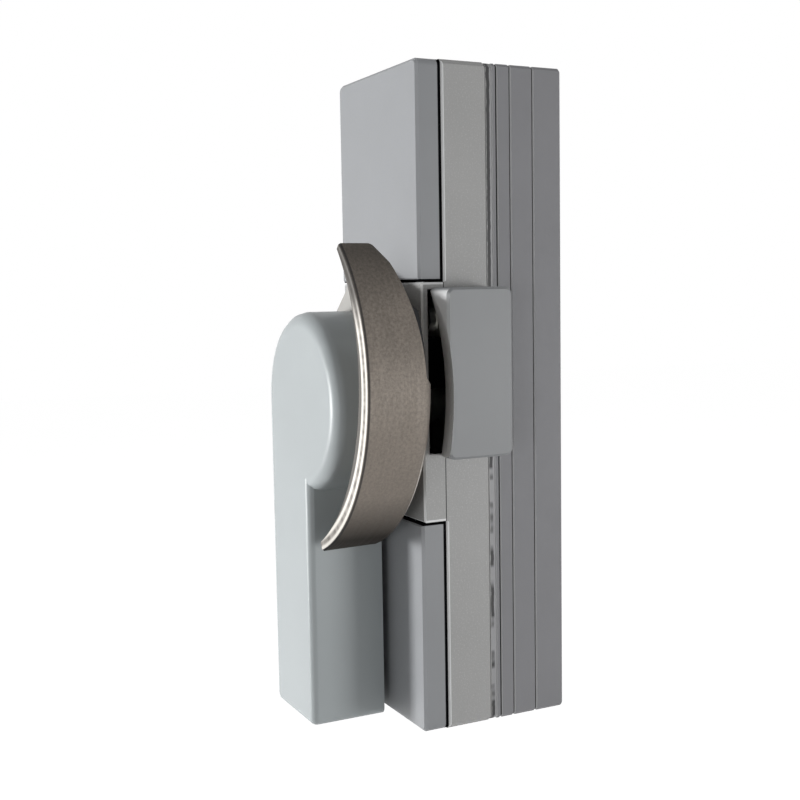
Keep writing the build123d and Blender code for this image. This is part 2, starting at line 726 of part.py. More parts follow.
with BuildPart() as crescent:
    with BuildSketch(foot_plane):
        Polygon(
            (root_radius, web_rear),
            *round_points((arc_radius - bend_radius, web_rear + bend_radius), bend_radius, -90, 90),
            (arc_radius, flange_front - rim_edge),
            (arc_radius - rim_edge, flange_front),
            (root_radius, flange_front),
            align=None,
        )
    revolve(
        axis=Axis((arc_centre[0], 0, arc_centre[1]), (0, -1, 0)),
        revolution_arc=tip_angle - foot_angle,
    )
    # The inner face is a wider curve, so the flange thins towards both ends
    with BuildSketch(facing(web_front)):
        with Locations(inner_arc_centre):
            Circle(inner_arc_radius)
    extrude(amount=flange_width, mode=Mode.SUBTRACT)
    # The foot's end is cut askew
    with BuildSketch(foot_side_plane):
        Polygon(
            (flange_front, 0),
            (web_rear, -foot_skew),
            (web_rear - steel, -foot_skew),
            (web_rear - steel, steel),
            (flange_front, steel),
            align=None,
        )
    extrude(amount=arc_radius + steel, mode=Mode.SUBTRACT)
    # The tip's rear edge climbs away from the sash
    with BuildSketch(Plane.YZ):
        with BuildLine():
            ThreePointArc(*taper_places)
            Polyline(
                taper_places[2],
                tip_rear,
                (tip_rear[0], tip_rear[1] + steel),
                (steel - web_rear, tip_rear[1] + steel),
                (steel - web_rear, taper_foot[1] - taper_foot[0] - steel),
                taper_places[0],
            )
        make_face()
    extrude(amount=arc_radius, mode=Mode.SUBTRACT)
    tip_end = crescent.faces().filter_by(GeomType.PLANE).sort_by(Axis.Z)[-1]
    fillet(tip_end.edges().sort_by(Axis.Y)[-1], tip_corner)
    # Web
    with BuildSketch(facing(web_rear)):
        Circle(hub_disc_radius)
        with BuildLine() as web_outline:
            Polyline(
                (0, 0),
                disc_touch_point,
                shoulder_start,
                shoulder_end,
                arc_point(web_arc_radius, web_end_angle),
            )
            ThreePointArc(
                arc_point(web_arc_radius, web_end_angle),
                arc_point(web_arc_radius, (web_end_angle + web_foot_angle) / 2),
                web_foot_point,
            )
            Polyline(web_foot_point, (web_foot_x, web_foot_depth), (web_foot_x, 0), (0, 0))
        make_face()
        Rectangle(square_hole, square_hole, mode=Mode.SUBTRACT)
        with GridLocations(0, 2 * peg_offset, 1, 2):
            Circle(peg_radius + peg_clearance, mode=Mode.SUBTRACT)
    extrude(amount=steel)
crescent.part.label = "crescent"
export_step(crescent.part, "parts/crescent.step")
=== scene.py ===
import logging
import math
from dataclasses import dataclass
from enum import Enum
from functools import cache

import bmesh
import bpy
from mathutils import Matrix, Vector


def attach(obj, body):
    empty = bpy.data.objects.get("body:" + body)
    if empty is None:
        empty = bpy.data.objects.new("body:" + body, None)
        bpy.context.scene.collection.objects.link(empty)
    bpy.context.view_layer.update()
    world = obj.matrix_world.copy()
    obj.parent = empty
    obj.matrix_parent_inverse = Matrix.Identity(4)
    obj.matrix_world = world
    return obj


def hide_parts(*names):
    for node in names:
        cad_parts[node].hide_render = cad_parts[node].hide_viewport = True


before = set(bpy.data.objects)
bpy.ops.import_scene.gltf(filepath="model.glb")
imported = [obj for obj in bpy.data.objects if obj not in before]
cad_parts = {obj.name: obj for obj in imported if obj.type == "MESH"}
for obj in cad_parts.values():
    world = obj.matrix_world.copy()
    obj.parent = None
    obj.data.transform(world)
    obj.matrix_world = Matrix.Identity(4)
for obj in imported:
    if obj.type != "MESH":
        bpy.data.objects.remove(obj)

logging.basicConfig(level=logging.INFO, format="%(message)s")
LOG = logging.getLogger("crescent_lock")

Socket = bpy.types.NodeSocket
Colour = tuple[float, float, float]
Point = tuple[float, float, float]
Limits = tuple[float, float]

MM = 0.001

# Half the width of a mark's soft border, in metres
SOFT = 0.04 * MM

# Specular level of a plain surface
PLAIN_GLOSS = 0.5

# Colours that several finishes share
WHITE: Colour = (1.0, 1.0, 1.0)
# Near-black of the painted shade in gaps, hollows and behind edges
SHADE: Colour = (0.006, 0.006, 0.007)
EDGE_HIGHLIGHT: Colour = (0.92, 0.93, 0.93)
SCOOP_LIGHT: Colour = (0.85, 0.86, 0.86)
SILVER: Colour = (0.43, 0.43, 0.425)
BRIGHT_STEEL: Colour = (0.72, 0.69, 0.64)
WEB_HIGHLIGHT: Colour = (0.42, 0.41, 0.39)
DULL_STEEL: Colour = (0.16, 0.145, 0.13)


def tinted(colour: Colour, factor: float) -> Colour:
    """Returns a colour made darker or lighter by a factor, with no channel above 1."""
    red, green, blue = (min(1.0, channel * factor) for channel in colour)
    return red, green, blue


class Grain(Enum):
    """Surface structures: cells in a metre, share of the bump, and its height in metres."""

    SPARK = (3600.0, 0.35, 0.03 * MM)
    CAST = (2600.0, 0.5, 0.04 * MM)
    SMOOTH = (900.0, 0.12, 0.02 * MM)

    def __init__(self, cells: float, strength: float, height: float) -> None:
        """Keeps the numbers of the structure.

        Args:
            cells: Cells in a metre.
            strength: Share of the bump's full effect.
            height: Height of a full bump, in metres.
        """
        self.cells = cells
        self.strength = strength
        self.height = height


@dataclass(frozen=True)
class Zone:
    """Box of the part, mirrored about its main planes, in millimetres."""

    x: Limits | None = None
    y: Limits | None = None
    z: Limits | None = None


class NodePen:
    """Writes one node tree from left to right."""

    def __init__(self, owner: bpy.types.Material | bpy.types.World, output: str) -> None:
        """Empties the owner's node tree and gives it an output.

        Args:
            owner: Material or world that holds the tree.
            output: Blender's type of the output node.
        """
        owner.use_nodes = True
        self.tree: bpy.types.NodeTree = owner.node_tree
        self.tree.nodes.clear()
        self.output = self.tree.nodes.new(output)

    def node(self, kind: str, **settings: object) -> bpy.types.Node:
        """Adds a node and sets its properties.

        Args:
            kind: Blender's node type.
            settings: Properties to set on the node.

        Returns:
            The new node.
        """
        made = self.tree.nodes.new(kind)
        for key, value in settings.items():
            setattr(made, key, value)
        return made

    def link(self, source: Socket, target: Socket) -> None:
        """Joins two sockets."""
        self.tree.links.new(source, target)

    def maths(self, operation: str, first: Socket, second: Socket | float | None = None) -> Socket:
        """Adds one step of arithmetic.

        Args:
            operation: Blender's name of the operation.
            first: First value.
            second: Second value, where the operation has one.

        Returns:
            The result.
        """
        made = self.node("ShaderNodeMath", operation=operation)
        self.link(first, made.inputs[0])
        if isinstance(second, (int, float)):
            made.inputs[1].default_value = second
        elif second is not None:
            self.link(second, made.inputs[1])
        return made.outputs["Value"]

    def product(self, first: Socket, *others: Socket | float) -> Socket:
        """Multiplies some values.

        Args:
            first: First value.
            others: The values to multiply it by.

        Returns:
            The product.
        """
        for other in others:
            first = self.maths("MULTIPLY", first, other)
        return first

    def highest(self, first: Socket, *others: Socket) -> Socket:
        """Picks the highest of some values.

        Args:
            first: First value.
            others: The values to compare it with.

        Returns:
            The highest value.
        """
        for other in others:
            first = self.maths("MAXIMUM", first, other)
        return first

    def span(self, value: Socket, low: float, high: float, start: float, end: float) -> Socket:
        """Maps a value from one span to another, clamped.

        Args:
            value: The value to read.
            low: Value that becomes start.
            high: Value that becomes end.
            start: Result at low.
            end: Result at high.

        Returns:
            The mapped value.
        """
        made = self.node("ShaderNodeMapRange", clamp=True)
        made.inputs["From Min"].default_value = low
        made.inputs["From Max"].default_value = high
        made.inputs["To Min"].default_value = start
        made.inputs["To Max"].default_value = end
        self.link(value, made.inputs["Value"])
        return made.outputs["Result"]

    def band(self, value: Socket, low: float, high: float, soft: float) -> Socket:
        """Marks where a value lies between two limits.

        Args:
            value: The value to read.
            low: Lower limit.
            high: Upper limit.
            soft: Half the width of the soft border at each limit.

        Returns:
            1 between the limits, 0 away from them.
        """
        rise = self.span(value, low - soft, low + soft, 0.0, 1.0)
        fall = self.span(value, high - soft, high + soft, 1.0, 0.0)
        return self.product(rise, fall)

    def axis(self, vector: Socket, name: str) -> Socket:
        """Reads one coordinate of a vector.

        Args:
            vector: The vector to read.
            name: X, Y or Z.

        Returns:
            The coordinate.
        """
        parts = self.node("ShaderNodeSeparateXYZ")
        self.link(vector, parts.inputs["Vector"])
        return parts.outputs[name]

    def white_rays(self) -> Socket:
        """Marks the rays that see the surround as white.

        Returns:
            1 for the camera's, mirrored and refracted rays, 0 for those that light the part.
        """
        path = self.node("ShaderNodeLightPath")
        names = ("Is Camera Ray", "Is Glossy Ray", "Is Transmission Ray")
        return self.highest(*(path.outputs[name] for name in names))


class MaterialPen(NodePen):
    """Writes a new material, with the patterns and marks that the finishes share."""

    def __init__(self, name: str) -> None:
        """Starts an empty material of that name."""
        self.material: bpy.types.Material = bpy.data.materials.new(name)
        super().__init__(self.material, "ShaderNodeOutputMaterial")

    def surface(self, metallic: float, roughness: float) -> bpy.types.Node:
        """Adds the main shader and joins it to the output.

        Args:
            metallic: How metallic the surface is where nothing is linked.
            roughness: Roughness where nothing is linked.

        Returns:
            The shader node.
        """
        made = self.node("ShaderNodeBsdfPrincipled")
        made.inputs["Metallic"].default_value = metallic
        made.inputs["Roughness"].default_value = roughness
        self.link(made.outputs["BSDF"], self.output.inputs["Surface"])
        return made

    def place(self) -> Socket:
        """Returns the point in the part's own frame, in metres."""
        return self.node("ShaderNodeTexCoord").outputs["Object"]

    def facing(self, name: str) -> Socket:
        """Returns one coordinate of the surface's normal, in the part's own frame."""
        return self.axis(self.node("ShaderNodeTexCoord").outputs["Normal"], name)

    def scaled(self, vector: Socket, scale: Point) -> Socket:
        """Scales a vector.

        Args:
            vector: The vector to change.
            scale: Factor for each direction.

        Returns:
            The scaled vector.
        """
        mapping = self.node("ShaderNodeMapping", vector_type="POINT")
        mapping.inputs["Scale"].default_value = scale
        self.link(vector, mapping.inputs["Vector"])
        return mapping.outputs["Vector"]

    def noise(
        self, vector: Socket, scale: float, detail: float = 2.0, roughness: float = 0.5
    ) -> Socket:
        """Adds a noise texture.

        Args:
            vector: Where the texture is read.
            scale: Cells per unit.
            detail: Number of finer layers.
            roughness: Weight of the finer layers.

        Returns:
            The noise value, from 0 to 1.
        """
        made = self.node("ShaderNodeTexNoise")
        made.inputs["Scale"].default_value = scale
        made.inputs["Detail"].default_value = detail
        made.inputs["Roughness"].default_value = roughness
        self.link(vector, made.inputs["Vector"])
        return made.outputs["Fac"]

    def ramp(self, value: Socket, low: tuple[float, Colour], high: tuple[float, Colour]) -> Socket:
        """Turns a value into a colour.

        Args:
            value: The value to read.
            low: A value and its colour.
            high: A higher value and its colour.

        Returns:
            The colour.
        """
        made = self.node("ShaderNodeValToRGB")
        for element, (position, colour) in zip(made.color_ramp.elements, (low, high)):
            element.position = position
            element.color = (*colour, 1.0)
        self.link(value, made.inputs["Fac"])
        return made.outputs["Color"]

    def blend(self, factor: Socket, first: Socket | Colour, second: Socket | Colour) -> Socket:
        """Mixes two colours.

        Args:
            factor: Share of the second colour.
            first: First colour.
            second: Second colour.

        Returns:
            The mixed colour.
        """
        made = self.node("ShaderNodeMix", data_type="RGBA")
        self.link(factor, made.inputs["Factor"])
        # The node has an A, a B and a result for each data type, and these are the colours'
        for socket, colour in ((made.inputs[6], first), (made.inputs[7], second)):
            if isinstance(colour, tuple):
                socket.default_value = (*colour, 1.0)
            else:
                self.link(colour, socket)
        return made.outputs[2]

    def bump(self, height: Socket, strength: float, distance: float) -> Socket:
        """Turns a height into a bumped normal.

        Args:
            height: Height value.
            strength: Share of the full effect.
            distance: Height of a full step, in metres.

        Returns:
            The normal.
        """
        made = self.node("ShaderNodeBump")
        made.inputs["Strength"].default_value = strength
        made.inputs["Distance"].default_value = distance
        self.link(height, made.inputs["Height"])
        return made.outputs["Normal"]

    def zone(self, place: Socket, zone: Zone) -> Socket:
        """Marks the inside of a zone.

        Args:
            place: The point in the part's frame.
            zone: The box to mark.

        Returns:
            1 in the zone, 0 away from it.
        """
        marks = []
        for name, limits in (("X", zone.x), ("Y", zone.y), ("Z", zone.z)):
            if limits is not None:
                distance = self.maths("ABSOLUTE", self.axis(place, name))
                marks.append(self.band(distance, limits[0] * MM, limits[1] * MM, SOFT))
        return self.product(*marks)

    def broken_edges(self) -> Socket:
        """Marks the faces that lean between two main directions, towards the room.

        Returns:
            1 on a broken edge, 0 elsewhere.
        """
        straightest = self.highest(*(self.maths("ABSOLUTE", self.facing(name)) for name in "XYZ"))
        leaning = self.span(straightest, 0.78, 0.88, 1.0, 0.0)
        forward = self.span(self.facing("Y"), -0.5, -0.3, 1.0, 0.0)
        return self.product(leaning, forward)


@dataclass(frozen=True)
class MouldedFinish:
    """Cast, moulded or painted surface with a fine, even grain.

    The mottle is the share by which the colour varies, and edge the strength of the painted
    highlight on broken edges. Shaded zones get painted shade in joints and hollows, highlight
    zones get painted highlights on edges, and lit scoop paints light on the face towards the room.
    """

    name: str
    colour: Colour
    roughness: float
    metallic: float
    mottle: float
    grain: Grain
    edge: float = 0.0
    shaded_zones: tuple[Zone, ...] = ()
    highlight_zones: tuple[Zone, ...] = ()
    lit_scoop: bool = False
    cloud_cells: float = 60.0
    fleck_cells: float = 4200.0

    def material(self) -> bpy.types.Material:
        """Builds the material.

        Returns:
            The finished material.
        """
        pen = MaterialPen(self.name)
        shader = pen.surface(self.metallic, self.roughness)
        place = pen.place()
        cloud = pen.noise(place, self.cloud_cells, 3.0)
        low, high = tinted(self.colour, 1.0 - self.mottle), tinted(self.colour, 1.0 + self.mottle)
        colour = pen.ramp(cloud, (0.3, low), (0.7, high))
        relief = pen.noise(place, self.grain.cells)
        bumped = pen.bump(relief, self.grain.strength, self.grain.height)
        if self.grain is Grain.CAST:
            fleck = pen.noise(place, self.fleck_cells, 1.0)
            light = tinted(self.colour, 1.28)
            colour = pen.blend(pen.span(fleck, 0.56, 0.74, 0.0, 0.7), colour, light)
            rough = pen.span(fleck, 0.4, 0.7, self.roughness + 0.06, self.roughness - 0.08)
        elif self.grain is Grain.SPARK:
            rough = pen.span(relief, 0.3, 0.7, self.roughness - 0.04, self.roughness + 0.05)
        else:
            rough = pen.span(cloud, 0.3, 0.7, self.roughness - 0.03, self.roughness + 0.04)
        painted_shades = [pen.zone(place, zone) for zone in self.shaded_zones]
        colour = self.brightened(pen, place, colour)
        # Painted shade: near-black in the shaded zones, at joints and hollows
        for painted_shade in painted_shades:
            colour = pen.blend(painted_shade, colour, SHADE)
        # Painted shade also takes the gloss off where it is dark
        if painted_shades:
            gloss = pen.span(pen.highest(*painted_shades), 0.0, 1.0, PLAIN_GLOSS, 0.0)
            pen.link(gloss, shader.inputs["Specular IOR Level"])
        pen.link(colour, shader.inputs["Base Color"])
        pen.link(rough, shader.inputs["Roughness"])
        pen.link(bumped, shader.inputs["Normal"])
        return pen.material

    def brightened(self, pen: MaterialPen, place: Socket, colour: Socket) -> Socket:
        """Adds painted light: on the lit scoop, and painted highlights on broken edges and in the
        highlight zones.

        Args:
            pen: Pen of the material.
            place: The point in the part's frame.
            colour: Colour of the plain surface.

        Returns:
            The colour with its painted light.
        """
        if self.lit_scoop:
            # Painted light on the scoop's face towards the room
            ahead = pen.span(pen.facing("Y"), -0.85, -0.6, 1.0, 0.0)
            colour = pen.blend(ahead, colour, SCOOP_LIGHT)
        # Painted highlight on the broken edges towards the room
        if self.edge:
            colour = pen.blend(pen.product(pen.broken_edges(), self.edge), colour, EDGE_HIGHLIGHT)
        # Painted highlights in the highlight zones
        for zone in self.highlight_zones:
            colour = pen.blend(pen.zone(place, zone), colour, EDGE_HIGHLIGHT)
        return colour


@dataclass(frozen=True)
class PlatedFinish:
    """Plain or zinc-plated steel of the inner pieces."""

    name: str
    colour: Colour
    roughness: float = 0.32
    cloud_cells: float = 240.0
    grain_cells: float = 1800.0

    def material(self) -> bpy.types.Material:
        """Builds the material.

        Returns:
            The finished material.
        """
        pen = MaterialPen(self.name)
        shader = pen.surface(1.0, self.roughness)
        place = pen.place()
        cloud = pen.noise(place, self.cloud_cells, 4.0)
        colour = pen.ramp(cloud, (0.35, tinted(self.colour, 0.86)), (0.65, self.colour))
        rough = pen.span(cloud, 0.3, 0.7, self.roughness - 0.06, self.roughness + 0.1)
        bumped = pen.bump(pen.noise(place, self.grain_cells), 0.15, 0.02 * MM)
        pen.link(colour, shader.inputs["Base Color"])
        pen.link(rough, shader.inputs["Roughness"])
        pen.link(bumped, shader.inputs["Normal"])
        return pen.material


@dataclass(frozen=True)
class ArcPlace:
    """A point of the crescent, in the directions of its arc.

    Turn is the angle about the arc's centre, in radians, 0 to the side and rising upwards.
    Reach is the distance from that centre, and ahead the part's Y. Rolled is the point on
    the flange laid flat, and facing the Y of the surface's normal.
    """

    turn: Socket
    reach: Socket
    ahead: Socket
    rolled: Socket
    facing: Socket


@dataclass(frozen=True)
class PressedSteelFinish:
    """Brushed sheet steel: mottled grain, painted shade at both ends and a bright sheared rim.

    Centre and radius are the arc's, and rim the Y of its front edge, in metres. The other
    places are angles in radians, or depths in metres behind the rim or inwards from the
    outer face.
    """

    name: str
    colour: Colour
    centre: tuple[float, float]
    rim: float
    radius: float
    metallic: float = 0.5
    roughness: float = 0.54
    shaded_metallic: float = 0.15
    shaded_gloss: float = 0.1
    tip_shade: Limits = (0.4, 0.75)
    foot_shade: Limits = (-1.02, -0.62)
    web_start: Limits = (0.006, 0.007)
    rear_shade: Limits = (0.0101, 0.0106)
    rear_band: Limits = (0.0104, 0.0108)
    rear_band_turn: Limits = (-0.85, -0.4)
    burr_shade: Limits = (0.00012, 0.00042)
    rim_depth: Limits = (0.00004, 0.0001)
    rim_line: Limits = (0.0008, 0.0016)
    rim_inside: Limits = (0.0021, 0.0024)

    def material(self) -> bpy.types.Material:
        """Builds the material.

        Returns:
            The finished material.
        """
        pen = MaterialPen(self.name)
        shader = pen.surface(self.metallic, self.roughness)
        arc = self.locate(pen)
        streak = pen.noise(pen.scaled(arc.rolled, (60.0, 1500.0, 1.0)), 1.0, 4.0, 0.6)
        speck = pen.noise(pen.scaled(arc.rolled, (1900.0, 1900.0, 1.0)), 1.0, 6.0, 0.8)
        # Dark tone of the painted shade
        shade_tone = tinted(self.colour, 0.17)
        # Painted shade: the dark tone darkens both ends of the arc
        tip = pen.span(arc.turn, *self.tip_shade, 0.0, 0.6)
        foot = pen.span(arc.turn, *self.foot_shade, 1.0, 0.0)
        ends = pen.highest(tip, foot)
        colour = pen.blend(ends, self.brushed(pen, arc, streak, speck), shade_tone)
        colour = self.with_web_highlight(pen, arc, colour)
        colour = self.with_rear_edge(pen, arc, colour)
        colour = self.with_rim(pen, arc, colour, shade_tone)
        # Painted shade also takes metal and gloss from both ends
        metal = pen.span(ends, 0.0, 1.0, self.metallic, self.shaded_metallic)
        gloss = pen.span(ends, 0.0, 1.0, PLAIN_GLOSS, self.shaded_gloss)
        rough = pen.span(streak, 0.3, 0.7, self.roughness - 0.06, self.roughness + 0.1)
        relief = pen.maths("ADD", pen.product(streak, 0.5), pen.product(speck, 0.5))
        pen.link(colour, shader.inputs["Base Color"])
        pen.link(metal, shader.inputs["Metallic"])
        pen.link(gloss, shader.inputs["Specular IOR Level"])
        pen.link(rough, shader.inputs["Roughness"])
        pen.link(pen.bump(relief, 0.35, 0.04 * MM), shader.inputs["Normal"])
        return pen.material

    def behind_rim(self, depths: Limits) -> Limits:
        """Turns depths behind the rim into places along Y."""
        return self.rim + depths[0], self.rim + depths[1]

    def inwards(self, depths: Limits) -> Limits:
        """Turns depths from the outer face into distances from the arc's centre."""
        return self.radius - depths[1], self.radius - depths[0]

    def locate(self, pen: MaterialPen) -> ArcPlace:
        """Reads where a point is on the crescent.

        Args:
            pen: Pen of the material.

        Returns:
            The point in the directions of the arc.
        """
        place = pen.place()
        across = pen.maths("SUBTRACT", pen.axis(place, "X"), self.centre[0])
        height = pen.maths("SUBTRACT", pen.axis(place, "Z"), self.centre[1])
        ahead = pen.axis(place, "Y")
        turn = pen.maths("ARCTAN2", height, across)
        squares = pen.maths("ADD", pen.product(across, across), pen.product(height, height))
        rolled = pen.node("ShaderNodeCombineXYZ")
        pen.link(pen.product(turn, self.radius), rolled.inputs["X"])
        pen.link(ahead, rolled.inputs["Y"])
        return ArcPlace(
            turn=turn,
            reach=pen.maths("POWER", squares, 0.5),
            ahead=ahead,
            rolled=rolled.outputs["Vector"],
            facing=pen.facing("Y"),
        )

    def brushed(self, pen: MaterialPen, arc: ArcPlace, streak: Socket, speck: Socket) -> Socket:
        """Mixes the colour of the brushed surface, with painted light from the middle of the arc
        downwards.

        Args:
            pen: Pen of the material.
            arc: The point on the crescent.
            streak: Noise drawn out along the arc.
            speck: Fine, even noise.

        Returns:
            The colour.
        """
        cloud = pen.noise(pen.scaled(arc.rolled, (120.0, 260.0, 1.0)), 1.0, 3.0)
        deep, light = tinted(self.colour, 0.5), tinted(self.colour, 1.5)
        colour = pen.ramp(cloud, (0.32, tinted(self.colour, 0.78)), (0.62, self.colour))
        colour = pen.blend(pen.span(streak, 0.48, 0.72, 0.0, 0.4), colour, light)
        colour = pen.blend(pen.span(speck, 0.34, 0.52, 0.75, 0.0), colour, deep)
        colour = pen.blend(pen.span(speck, 0.5, 0.68, 0.0, 0.55), colour, light)
        # Painted light: the arc is lighter from the middle downwards
        return pen.blend(pen.span(arc.turn, -0.7, 0.1, 0.45, 0.0), colour, light)

    def with_web_highlight(self, pen: MaterialPen, arc: ArcPlace, colour: Socket) -> Socket:
        """Paints a highlight on the flat front of the web, a painted reflection of the light.

        Args:
            pen: Pen of the material.
            arc: The point on the crescent.
            colour: Colour so far.

        Returns:
            The colour with the web's front.
        """
        level = pen.span(arc.facing, -0.97, -0.9, 1.0, 0.0)
        behind = pen.span(arc.ahead, *self.behind_rim(self.web_start), 0.0, 1.0)
        return pen.blend(pen.product(level, behind), colour, WEB_HIGHLIGHT)

    def with_rear_edge(self, pen: MaterialPen, arc: ArcPlace, colour: Socket) -> Socket:
        """Paints shade on the rear edge beside the web's shoulder, and makes a band of it brighter
        lower down.

        Args:
            pen: Pen of the material.
            arc: The point on the crescent.
            colour: Colour so far.

        Returns:
            The colour with the rear edge.
        """
        # Painted shade on the upper rear edge, beside the web's shoulder
        side = pen.span(pen.maths("ABSOLUTE", arc.facing), 0.75, 0.85, 1.0, 0.0)
        rear = pen.span(arc.ahead, *self.behind_rim(self.rear_shade), 0.0, 1.0)
        above = pen.span(arc.turn, 0.0, 0.06, 0.0, 1.0)
        colour = pen.blend(pen.product(side, rear, above), colour, SHADE)
        # A band of the rear edge lower down is made brighter
        brightened = pen.band(arc.ahead, *self.behind_rim(self.rear_band), 0.1 * MM)
        below = pen.band(arc.turn, *self.rear_band_turn, 0.08)
        return pen.blend(pen.product(brightened, below), colour, BRIGHT_STEEL)

    def with_rim(self, pen: MaterialPen, arc: ArcPlace, colour: Socket, shade_tone: Colour) -> Socket:
        """Adds the sheared rim: bright steel with a line of painted shade beside it, where the
        burr is.

        Args:
            pen: Pen of the material.
            arc: The point on the crescent.
            colour: Colour so far.
            shade_tone: Colour of the painted shade at the ends.

        Returns:
            The colour with the rim.
        """
        # Painted shade in a line just behind the rim, where the burr is
        burr_shade = pen.band(arc.ahead, *self.behind_rim(self.burr_shade), 2.0 * SOFT)
        colour = pen.blend(pen.product(burr_shade, 0.85), colour, SHADE)
        patches = pen.noise(pen.scaled(arc.rolled, (700.0, 1.0, 1.0)), 1.0)
        line = pen.band(arc.reach, *self.inwards(self.rim_line), 0.2 * MM)
        line = pen.product(line, pen.span(patches, 0.4, 0.6, 0.7, 1.0))
        # Painted shade on the rim's inner part and at the tip
        inside = pen.span(arc.reach, *self.inwards(self.rim_inside), 0.9, 0.0)
        tip = pen.span(arc.turn, 0.3, 0.5, 0.0, 0.85)
        sheared = pen.blend(line, BRIGHT_STEEL, DULL_STEEL)
        sheared = pen.blend(inside, sheared, shade_tone)
        sheared = pen.blend(tip, sheared, shade_tone)
        front = pen.span(arc.ahead, *self.behind_rim(self.rim_depth), 1.0, 0.0)
        return pen.blend(front, colour, sheared)


@dataclass(frozen=True)
class BackPlateFinish:
    """Dull plated steel whose front edge shows as a ragged joint line of painted shade.

    Line is the joint's place along Y, and broken_below the height under which it is broken
    into short pieces, in metres. Lip is the colour of the base's edge in front of it.
    """

    name: str
    colour: Colour
    lip: Colour
    line: Limits
    broken_below: float

    def material(self) -> bpy.types.Material:
        """Builds the material.

        Returns:
            The finished material.
        """
        pen = MaterialPen(self.name)
        shader = pen.surface(0.1, 0.5)
        place = pen.place()
        cloud = pen.noise(place, 240.0, 3.0)
        colour = pen.ramp(cloud, (0.35, tinted(self.colour, 0.93)), (0.65, self.colour))
        # The joint's line wanders a little along its length
        waves = pen.noise(pen.scaled(place, (1.0, 1.0, 500.0)), 1.0, 3.0)
        ragged = pen.span(waves, 0.35, 0.65, -0.06 * MM, 0.06 * MM)
        ahead = pen.maths("ADD", pen.axis(place, "Y"), ragged)
        front = pen.span(ahead, self.line[0] - SOFT, self.line[0] + SOFT, 1.0, 0.0)
        colour = pen.blend(front, colour, self.lip)
        # Painted shade in the joint's gap, in short pieces low down
        gap_shade = pen.band(ahead, *self.line, SOFT)
        height = pen.axis(place, "Z")
        whole = pen.span(height, self.broken_below - MM, self.broken_below, 0.0, 1.0)
        patches = pen.noise(pen.scaled(place, (1.0, 1.0, 160.0)), 1.0)
        pieces = pen.span(patches, 0.47, 0.53, 0.0, 1.0)
        colour = pen.blend(pen.product(gap_shade, pen.highest(whole, pieces)), colour, SHADE)
        pen.link(colour, shader.inputs["Base Color"])
        return pen.material


Finish = MouldedFinish | PlatedFinish | PressedSteelFinish | BackPlateFinish

# The zones are joints and hollows of the body with painted shade, and edges with painted
# highlights
CAST = MouldedFinish(
    name="silver_cast",
    colour=SILVER,
    roughness=0.5,
    metallic=0.05,
    mottle=0.04,
    grain=Grain.CAST,
    # Painted highlight on the broken edges
    edge=0.9,
    # Painted shade in the joints behind and beside the caps and inside the window
    shaded_zones=(
        Zone(y=(22.86, 23.0)),
        Zone(x=(0.0, 15.2), y=(14.9, 24.9), z=(0.0, 18.6)),
        Zone(y=(22.95, 26.6), z=(19.56, 19.7)),
    ),
    # Painted highlights on the base's edges by the caps and by the back plate
    highlight_zones=(
        Zone(x=(15.2, 15.3), y=(23.0, 27.0), z=(19.2, 19.56)),
        Zone(x=(14.8, 15.3), y=(22.45, 22.84), z=(19.7, 55.0)),
        Zone(x=(15.1, 15.3), y=(14.6, 14.82)),
    ),
)
CAP = MouldedFinish(
    name="grey_cap",
    colour=(0.335, 0.345, 0.36),
    roughness=0.46,
    metallic=0.0,
    mottle=0.03,
    grain=Grain.SPARK,
    # Painted shade on the cap's rear edge and on its end by the tongue, in the gaps
    shaded_zones=(Zone(y=(22.6, 23.45)), Zone(z=(19.6, 20.1))),
)
PACKING = MouldedFinish(
    name="grey_packing",
    colour=(0.275, 0.275, 0.29),
    roughness=0.55,
    metallic=0.0,
    mottle=0.05,
    grain=Grain.SPARK,
    # Painted highlight on the broken edges
    edge=0.6,
    # Painted shade in the joints between the plates
    shaded_zones=(Zone(y=(12.5, 12.75)), Zone(y=(9.94, 10.12)), Zone(y=(5.54, 5.72))),
)
ENAMEL = MouldedFinish(
    name="handle_enamel",
    colour=(0.47, 0.51, 0.52),
    roughness=0.36,
    metallic=0.0,
    mottle=0.02,
    grain=Grain.SMOOTH,
)
SLIDE = MouldedFinish(
    name="grey_slide",
    colour=(0.33, 0.34, 0.35),
    roughness=0.46,
    metallic=0.0,
    mottle=0.04,
    grain=Grain.SPARK,
    # Painted shade on the part of the slide inside the body
    shaded_zones=(Zone(x=(0.0, 15.4)),),
    # Painted light on the scoop
    lit_scoop=True,
)
BEARING = MouldedFinish(
    name="white_bearing",
    colour=(0.75, 0.75, 0.72),
    roughness=0.4,
    metallic=0.0,
    mottle=0.03,
    grain=Grain.SMOOTH,
)
PLATED = PlatedFinish(name="zinc_plated", colour=(0.6, 0.6, 0.57))
SPRING = PlatedFinish(name="leaf_steel", colour=(0.32, 0.33, 0.36), roughness=0.28)
PRESSED = PressedSteelFinish(
    name="crescent_steel",
    colour=(0.195, 0.169, 0.144),
    centre=(-0.0045, 0.0037),
    rim=-0.0415,
    radius=0.03,
)
JOINT_PLATE = BackPlateFinish(
    name="dull_plate",
    colour=(0.35, 0.35, 0.36),
    lip=SILVER,
    line=(-0.01452, -0.01392),
    broken_below=0.018,
)


@cache
def paint(finish: Finish) -> bpy.types.Material:
    """Returns a finish's material, which is built once."""
    return finish.material()


def dress(node: str, finish: Finish) -> None:
    """Gives a carried CAD node its material.

    Args:
        node: Name of the CAD node.
        finish: The finish to build for it.
    """
    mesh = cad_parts[node].data
    mesh.materials.clear()
    mesh.materials.append(paint(finish))
    LOG.info("dressed %s with %s", node, finish.name)


